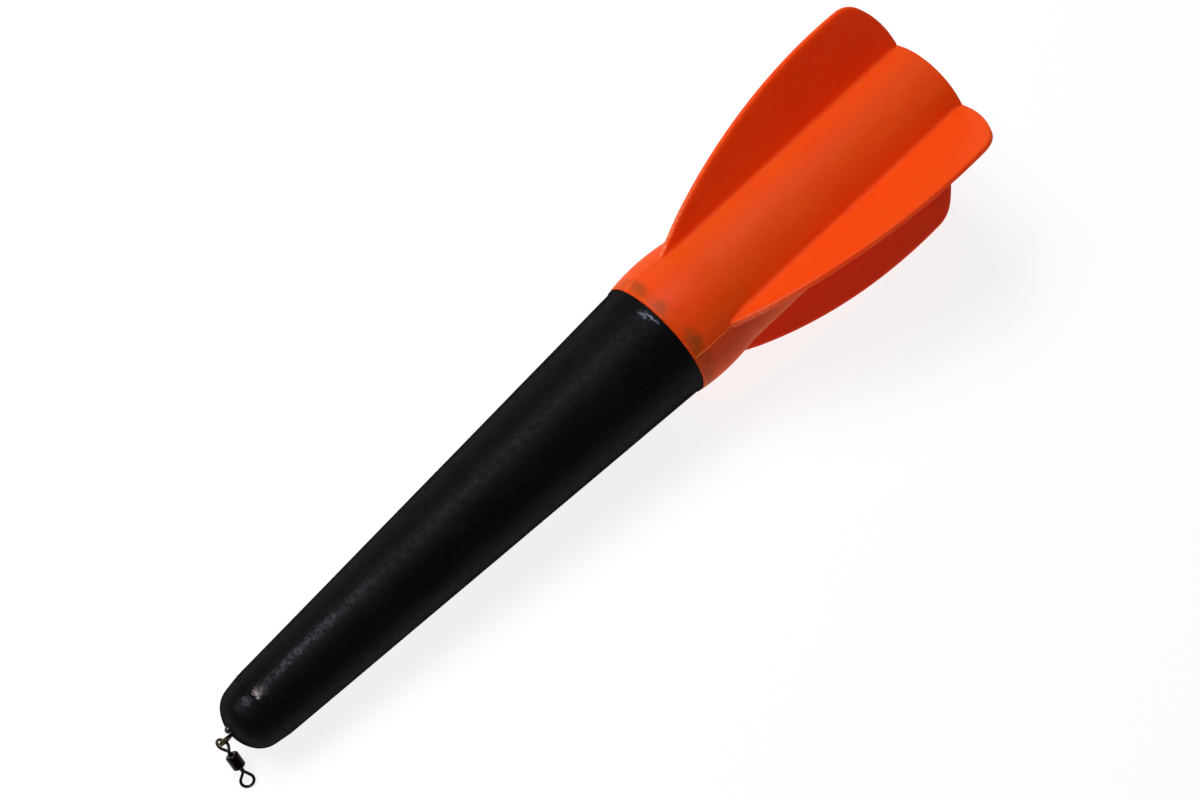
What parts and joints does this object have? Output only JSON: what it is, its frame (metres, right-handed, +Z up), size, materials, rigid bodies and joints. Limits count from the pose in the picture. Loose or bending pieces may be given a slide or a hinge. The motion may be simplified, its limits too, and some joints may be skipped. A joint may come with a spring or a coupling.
{
  "type": "marker float",
  "caption": "Tapered hollow angling float with cross-set tail vanes, a rounded nose cap and a wire line eye carrying a small barrel swivel that turns freely.",
  "frame": {"origin": "bottom centre of the whole part's box as it lies on its side", "axes": "+X from the nose towards the tail vanes, +Y across, +Z up from the surface the float lies on"},
  "size_m": [0.2464, 0.0528, 0.0537],
  "materials": {
    "body_black": "satin with a fine grain",
    "cap_black": "satin with a fine grain",
    "plug_black": "matt",
    "flight_orange": "satin, slightly translucent",
    "wire_brass": "dull, bronzed",
    "washer_brass": "plain",
    "crimp_metal": "plain",
    "bead_dark": "satin, blue-black",
    "eye_nickel": "polished black nickel",
    "barrel_nickel": "polished black nickel"
  },
  "bodies": {
    "float": {"body_shell": "body_black", "nose_cap": "cap_black", "end_plug": "plug_black", "flights": "flight_orange", "line_eye": "wire_brass", "eye_washer": "washer_brass", "eye_crimp": "crimp_metal", "eye_bead": "bead_dark"},
    "upper_eye": {"swivel_top_eye": "eye_nickel"},
    "barrel": {"swivel_barrel": "barrel_nickel"},
    "lower_eye": {"swivel_bottom_eye": "eye_nickel"}
  },
  "joints": [
    {"name": "eye_swing", "type": "hinge", "parent": "float", "child": "upper_eye", "pos_m": [-0.11961, -0.0001, 0.00719], "axis": [-1, 0, 0], "range_deg": [0, 80]},
    {"name": "barrel_spin", "type": "hinge", "parent": "upper_eye", "child": "barrel", "pos_m": [-0.12038, -0.0046, 0.00441], "axis": [0.0811, 0.8423, 0.5329], "continuous": true},
    {"name": "lower_eye_spin", "type": "hinge", "parent": "barrel", "child": "lower_eye", "pos_m": [-0.12038, -0.0046, 0.00441], "axis": [0.0811, 0.8423, 0.5329], "continuous": true}
  ]
}
